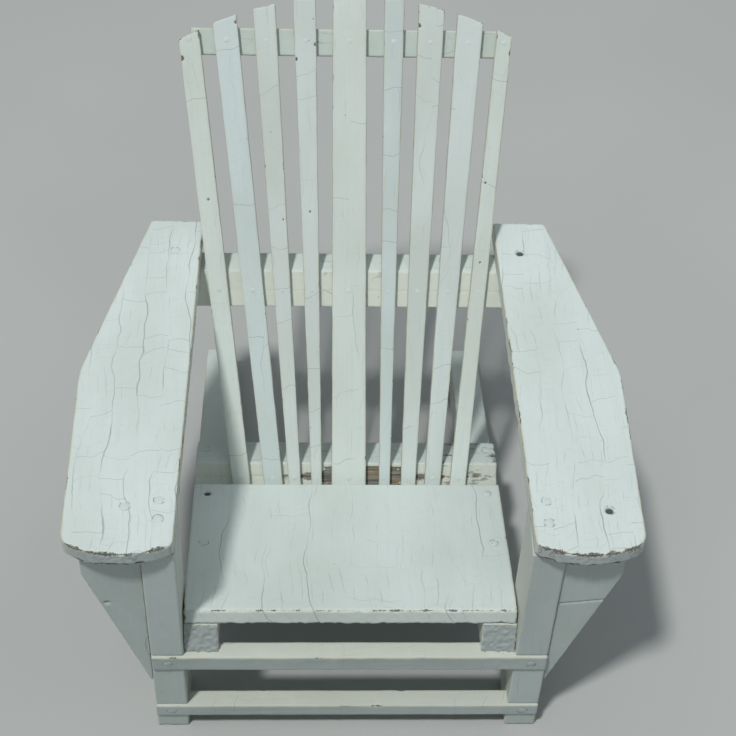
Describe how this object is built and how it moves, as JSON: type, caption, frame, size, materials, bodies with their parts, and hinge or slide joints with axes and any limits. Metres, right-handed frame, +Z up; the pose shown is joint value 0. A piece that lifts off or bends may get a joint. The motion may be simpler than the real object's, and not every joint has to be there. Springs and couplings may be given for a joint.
{
  "type": "adirondack chair",
  "caption": "Small nailed Adirondack chair in crackled white paint: fan of tapered slats cut to an arch, broad flat arms, sloping board seat and two front stretchers",
  "frame": {"origin": "on the floor, under the centre of the outline seen from above", "axes": "+Z up, the chair faces -Y, +X to the right as seen from the front"},
  "size_m": [0.2946, 0.3011, 0.2952],
  "materials": {
    "painted_wood": "crackled white paint over wood",
    "nail": "painted over, rusting through"
  },
  "bodies": {
    "root": {"seat_board": "painted_wood", "left_stringer": "painted_wood", "right_stringer": "painted_wood", "left_front_leg": "painted_wood", "right_front_leg": "painted_wood", "upper_stretcher": "painted_wood", "lower_stretcher": "painted_wood", "left_arm": "painted_wood", "right_arm": "painted_wood", "left_arm_bracket": "painted_wood", "right_arm_bracket": "painted_wood", "lower_back_rail": "painted_wood", "arm_rail": "painted_wood", "upper_back_rail": "painted_wood", "slat_1": "painted_wood", "slat_2": "painted_wood", "slat_3": "painted_wood", "slat_4": "painted_wood", "slat_5": "painted_wood", "slat_6": "painted_wood", "slat_7": "painted_wood", "slat_8": "painted_wood", "slat_9": "painted_wood", "arm_nails": "nail", "seat_nails": "nail", "rail_nails": "nail", "stretcher_nails": "nail", "stringer_nails": "nail", "bracket_nails": "nail", "slat_pins": "nail"}
  },
  "joints": []
}
